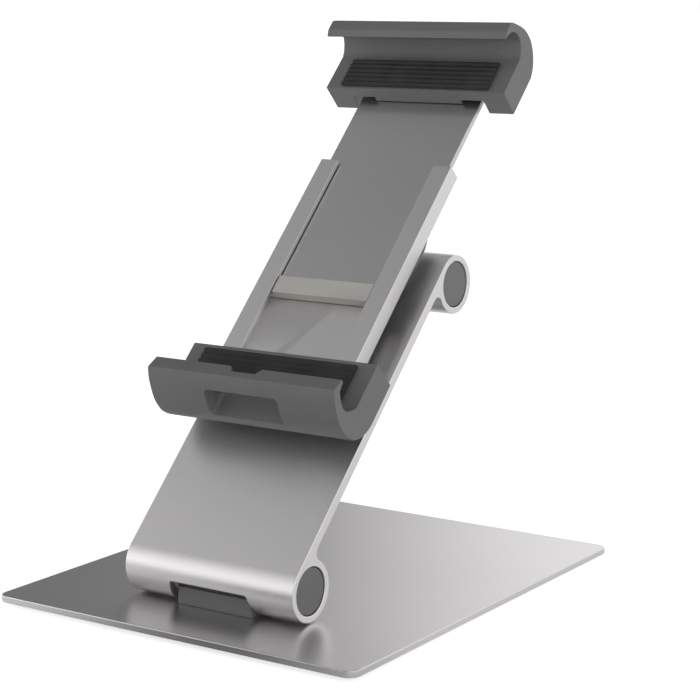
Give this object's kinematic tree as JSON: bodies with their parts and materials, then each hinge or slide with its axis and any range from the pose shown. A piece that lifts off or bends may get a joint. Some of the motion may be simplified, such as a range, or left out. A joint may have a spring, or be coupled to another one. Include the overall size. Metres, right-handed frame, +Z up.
{
  "type": "tablet stand",
  "caption": "Desk tablet stand: a flat metal base, a leaning hinged arm and a turning, tilting head whose hooked jaws slide apart to hold a tablet.",
  "frame": {"origin": "centre of the base plate's plan, at the underside of the feet", "axes": "+Z up, -Y towards the person using the tablet, +X to that person's right"},
  "size_m": [0.1564, 0.1854, 0.2104],
  "materials": {
    "base_metal": "satin plate with a fine grain",
    "aluminium": "satin silver anodised",
    "steel": "plain zinc-bright steel",
    "grey_moulding": "fine-textured mid grey moulding",
    "nylon": "natural nylon",
    "rubber": "matt black rubber"
  },
  "bodies": {
    "base": {"base_plate": "base_metal", "foot_1": "rubber", "foot_2": "rubber", "foot_3": "rubber", "foot_4": "rubber", "base_hinge_block": "grey_moulding", "base_screw_1": "steel", "base_screw_2": "steel"},
    "arm": {"arm_profile": "aluminium", "lower_bolt": "steel", "lower_washer_left": "nylon", "lower_washer_right": "nylon", "lower_bush_left": "steel", "lower_bush_right": "steel", "lower_spring": "steel", "lower_nut": "steel", "upper_bolt": "steel", "upper_washer_left": "nylon", "upper_washer_right": "nylon", "upper_bush_left": "steel", "upper_bush_right": "steel", "upper_spring": "steel", "upper_nut": "steel", "lower_cap_left": "grey_moulding", "lower_cap_right": "grey_moulding", "upper_cap_left": "grey_moulding", "upper_cap_right": "grey_moulding"},
    "carrier": {"head_hinge_block": "grey_moulding", "hub_plate": "steel", "hub_screw_1": "steel", "hub_screw_2": "steel"},
    "head": {"head_channel": "aluminium", "turntable": "grey_moulding", "turntable_screw_1": "steel", "turntable_screw_2": "steel", "turntable_screw_3": "steel", "turntable_screw_4": "steel", "hub_bolt": "steel", "hub_clip": "steel", "lower_jaw": "grey_moulding", "lower_jaw_screw_1": "steel", "lower_jaw_screw_2": "steel", "lower_jaw_pad": "rubber"},
    "slide": {"slide_plate": "steel", "slide_shoe": "nylon", "stop_pin": "steel", "upper_jaw": "grey_moulding", "upper_jaw_screw_1": "steel", "upper_jaw_screw_2": "steel", "upper_jaw_pad": "rubber"}
  },
  "joints": [
    {"name": "arm_tilt", "type": "hinge", "parent": "base", "child": "arm", "pos_m": [0, -0.05723, 0.01564], "axis": [1, 0, 0], "range_deg": [-18, 18]},
    {"name": "head_tilt", "type": "hinge", "parent": "arm", "child": "carrier", "pos_m": [0, 0.03964, 0.11251], "axis": [1, 0, 0], "range_deg": [-45, 0]},
    {"name": "head_spin", "type": "hinge", "parent": "carrier", "child": "head", "pos_m": [0, 0.0284, 0.12376], "axis": [0, -0.7071, 0.7071], "continuous": true},
    {"name": "jaw_slide", "type": "slide", "parent": "head", "child": "slide", "axis": [0, 0.7071, 0.7071], "range_m": [-0.05, 0.05]}
  ]
}
